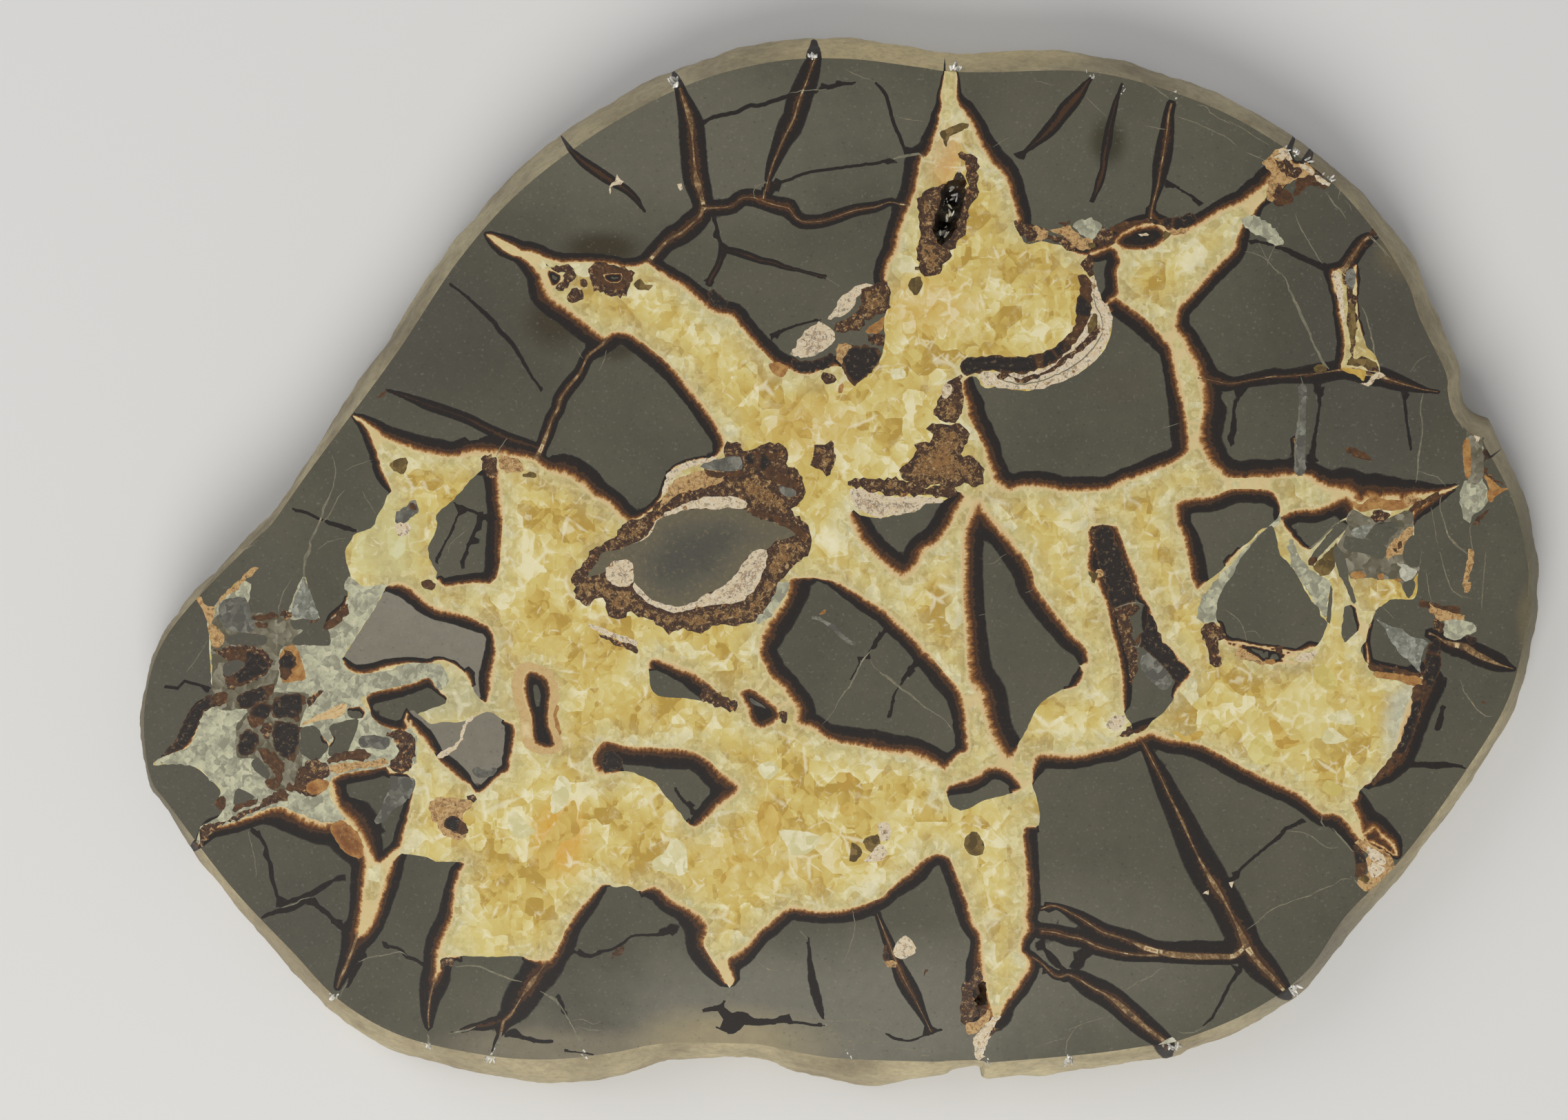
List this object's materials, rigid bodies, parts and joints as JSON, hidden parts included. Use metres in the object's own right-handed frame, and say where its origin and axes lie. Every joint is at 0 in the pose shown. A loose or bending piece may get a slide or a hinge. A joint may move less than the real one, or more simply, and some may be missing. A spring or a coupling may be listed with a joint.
{
  "type": "septarian nodule slice",
  "caption": "Flat polished slab of a cracked mudstone concretion, its cracks lined with brown calcite and filled with yellow calcite, resting on its sawn back.",
  "frame": {"origin": "middle of the slab's box at its underside, on the sawn back face", "axes": "+Z square to the polished face, out of it; +X along the long way of the slice; +Y across it"},
  "size_m": [0.1663, 0.125, 0.012],
  "materials": {
    "septarian_stone": "polished face, dull sawn back, weathered rim"
  },
  "bodies": {
    "root": {"nodule_slice": "septarian_stone"}
  },
  "joints": []
}
